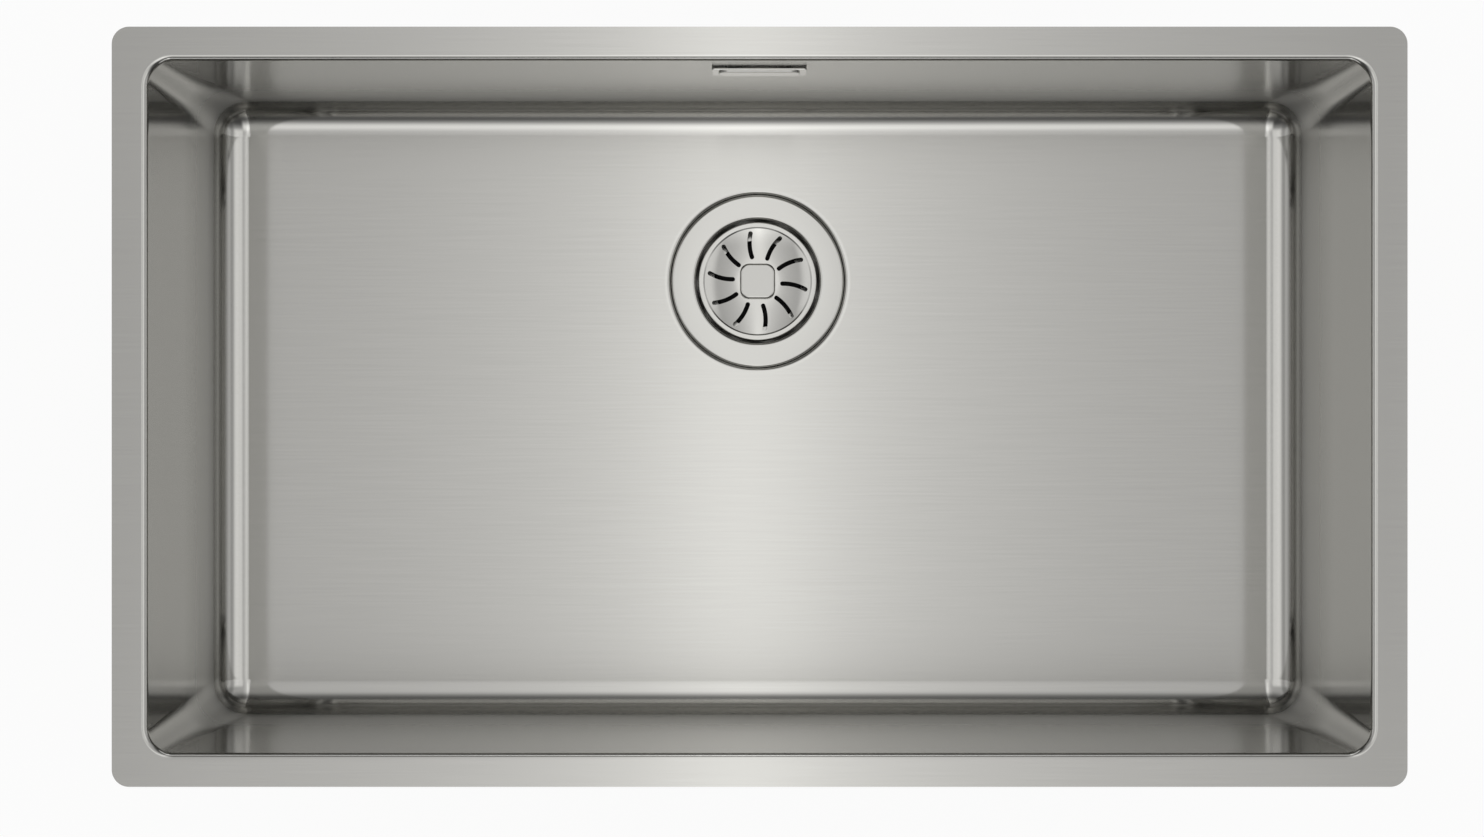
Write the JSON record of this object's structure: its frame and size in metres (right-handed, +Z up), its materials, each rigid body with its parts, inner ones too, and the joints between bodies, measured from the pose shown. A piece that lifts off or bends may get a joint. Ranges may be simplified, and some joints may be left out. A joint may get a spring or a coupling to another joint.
{
  "type": "undermount kitchen sink",
  "caption": "Undermount kitchen sink with a pressed steel bowl, lift-out swirl-slotted basket strainer, waste body, and a covered overflow joined by a ribbed hose.",
  "frame": {"origin": "centre of the bowl's mouth, on the rim's flat top face, which bears on the worktop's underside", "axes": "+X along the rim's long side, +Y towards the back wall with the overflow, +Z up, out of the bowl"},
  "size_m": [0.75, 0.4479, 0.296],
  "materials": {
    "brushed_steel": "brushed stainless steel, satin",
    "polished_steel": "pressed stainless steel, bright satin",
    "knob_steel": "cast stainless knob, fine satin",
    "turned_steel": "turned stainless steel",
    "brass": "plain turned brass",
    "seal_rubber": "moulded black rubber",
    "sound_pad": "matt sound-deadening sheet",
    "white_plastic": "moulded polypropylene, white",
    "grey_plastic": "moulded polypropylene, grey"
  },
  "bodies": {
    "sink": {"sink_bowl": "brushed_steel", "floor_pad_left": "sound_pad", "floor_pad_right": "sound_pad", "front_pad": "sound_pad", "back_pad_left": "sound_pad", "back_pad_right": "sound_pad", "end_pad_left": "sound_pad", "end_pad_right": "sound_pad", "waste_cup": "polished_steel", "cup_gasket": "seal_rubber", "under_gasket": "seal_rubber", "waste_body": "white_plastic", "outlet_tail": "white_plastic", "thread_insert": "brass", "clamp_screw": "turned_steel", "overflow_cover": "polished_steel", "overflow_gasket": "seal_rubber", "overflow_housing": "white_plastic", "overflow_nuts": "turned_steel", "hose_nut_top": "grey_plastic", "hose_nut_bottom": "grey_plastic", "hose_seal_top": "seal_rubber", "hose_seal_bottom": "seal_rubber", "overflow_hose": "grey_plastic"},
    "strainer_plug": {"strainer_stem": "turned_steel", "strainer_knob": "knob_steel", "plug_seal": "seal_rubber", "seal_nut": "turned_steel"},
    "basket": {"strainer_basket": "polished_steel"}
  },
  "joints": [
    {"name": "strainer_lift", "type": "slide", "parent": "sink", "child": "strainer_plug", "axis": [0, 0, 1], "range_m": [0, 0.26]},
    {"name": "basket_turn", "type": "hinge", "parent": "strainer_plug", "child": "basket", "pos_m": [0, 0.083, -0.206], "axis": [0, 0, 1], "continuous": true}
  ]
}
